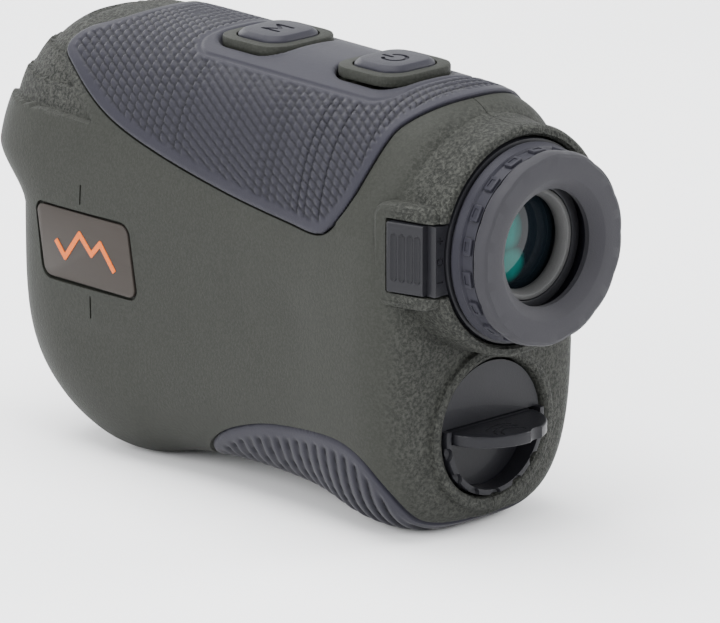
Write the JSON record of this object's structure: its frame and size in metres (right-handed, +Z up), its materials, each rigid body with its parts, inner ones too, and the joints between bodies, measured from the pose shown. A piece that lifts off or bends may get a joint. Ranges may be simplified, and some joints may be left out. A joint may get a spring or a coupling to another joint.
{
  "type": "laser rangefinder",
  "caption": "Handheld laser rangefinder with a rubber-gripped housing, eyepiece with dioptre ring, two top buttons and a screw-in battery cap with folding tab.",
  "frame": {"origin": "under the middle of the device, at the height of its base", "axes": "+Y forward to the lenses, -Y back to the eyepiece, +Z up"},
  "size_m": [0.0399, 0.102, 0.0665],
  "materials": {
    "housing": "fine-grained moulded plastic",
    "grip_rubber": "soft rubber, moulded pattern",
    "black_plastic": "smooth black plastic",
    "charcoal_plastic": "satin charcoal plastic",
    "badge_plate": "smooth satin plate",
    "badge_mark": "orange printed mark",
    "glass": "coated optical glass",
    "steel": "bright steel",
    "circuit_board": "green solder mask",
    "battery_sleeve": "printed shrink sleeve"
  },
  "bodies": {
    "housing": {"left_shell": "housing", "right_shell": "housing", "top_grip": "grip_rubber", "bottom_grip": "grip_rubber", "mode_button_surround": "housing", "power_button_surround": "housing", "mode_switch": "black_plastic", "power_switch": "black_plastic", "button_board": "circuit_board", "side_badge": "badge_plate", "badge_mark": "badge_mark", "eyepiece_sleeve": "black_plastic", "eyepiece_flange": "charcoal_plastic", "dioptre_index_tab": "charcoal_plastic", "objective_bezel": "black_plastic", "objective_cell": "black_plastic", "objective_lens": "glass", "receiver_bezel": "black_plastic", "receiver_cell": "black_plastic", "receiver_lens": "glass", "detector_board": "circuit_board", "photodiode": "steel", "prism_holder": "black_plastic", "roof_prism": "glass", "half_prism": "glass", "display_cell": "glass", "laser_holder": "steel", "laser_diode": "steel", "main_board": "circuit_board", "battery_tube": "black_plastic", "front_contact": "steel", "case_screw_1": "steel", "case_screw_2": "steel", "case_screw_3": "steel", "case_screw_4": "steel", "case_screw_5": "steel"},
    "mode_button": {"mode_button": "grip_rubber"},
    "power_button": {"power_button": "grip_rubber"},
    "dioptre": {"dioptre_ring": "grip_rubber", "eyecup": "grip_rubber"},
    "ocular": {"ocular_cell": "black_plastic", "eye_lens": "glass", "field_lens": "glass", "ocular_retaining_ring": "steel"},
    "cap_contacts": {"cap_contact": "steel", "cap_spring": "steel"},
    "cap": {"battery_cap": "charcoal_plastic", "tab_hinge_pin": "steel", "cap_seal": "grip_rubber"},
    "cap_tab": {"cap_tab": "charcoal_plastic"},
    "battery": {"battery": "battery_sleeve"}
  },
  "joints": [
    {"name": "mode_button_press", "type": "slide", "parent": "housing", "child": "mode_button", "axis": [0, 0, -1], "range_m": [0, 0.0007], "stiffness_N_per_m": 900, "springref_m": -0.0006},
    {"name": "power_button_press", "type": "slide", "parent": "housing", "child": "power_button", "axis": [0, 0, -1], "range_m": [0, 0.0007], "stiffness_N_per_m": 900, "springref_m": -0.0006},
    {"name": "dioptre_turn", "type": "hinge", "parent": "housing", "child": "dioptre", "pos_m": [0, -0.045, 0.0442], "axis": [0, -1, 0], "range_deg": [-50, 50]},
    {"name": "ocular_focus", "type": "slide", "parent": "housing", "child": "ocular", "axis": [0, -1, 0], "range_m": [-0.0012, 0.0012]},
    {"name": "battery_cap_travel", "type": "slide", "parent": "housing", "child": "cap_contacts", "axis": [0, -1, 0], "range_m": [0, 0.0452]},
    {"name": "battery_cap_turn", "type": "hinge", "parent": "cap_contacts", "child": "cap", "pos_m": [0, -0.035, 0.0153], "axis": [0, -1, 0], "range_deg": [0, 10800]},
    {"name": "battery_cap_tab_fold", "type": "hinge", "parent": "cap", "child": "cap_tab", "pos_m": [0, -0.0376, 0.0153], "axis": [1, 0, 0], "range_deg": [0, 86]},
    {"name": "battery_out", "type": "slide", "parent": "housing", "child": "battery", "axis": [0, -1, 0], "range_m": [0, 0.0245]}
  ],
  "couplings": [
    {"joint": "ocular_focus", "follows": "dioptre_turn", "m_per_rad": 0.0013613},
    {"joint": "battery_cap_travel", "follows": "battery_cap_turn", "m_per_rad": 0.00023873},
    {"joint": "battery_out", "follows": "battery_cap_turn", "m_per_rad": 0.00012732}
  ]
}
